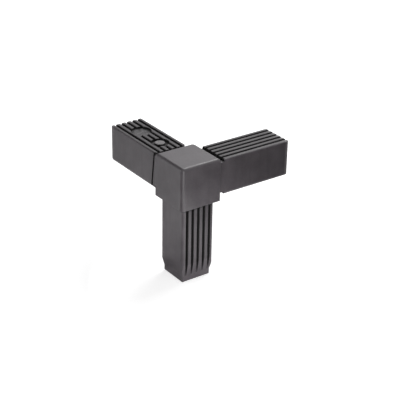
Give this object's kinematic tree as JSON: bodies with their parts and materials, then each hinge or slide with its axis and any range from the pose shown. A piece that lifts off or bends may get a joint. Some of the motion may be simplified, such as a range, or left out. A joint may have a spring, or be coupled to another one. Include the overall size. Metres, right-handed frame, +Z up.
{
  "type": "three way corner connector",
  "caption": "Corner connector that joins square tubes at right angles: a cube with ribbed push-in spigots pointing right, back and down.",
  "frame": {"origin": "middle of the cube's underside, where the end of the upright tube seats around the downward spigot", "axes": "+Z up along the upright tube's centre line, with its spigot pointing down; the level spigots point along +X and +Y"},
  "size_m": [0.0736, 0.0741, 0.0708],
  "materials": {
    "nylon": "satin dark grey moulded nylon"
  },
  "bodies": {
    "root": {"corner_connector": "nylon"}
  },
  "joints": []
}
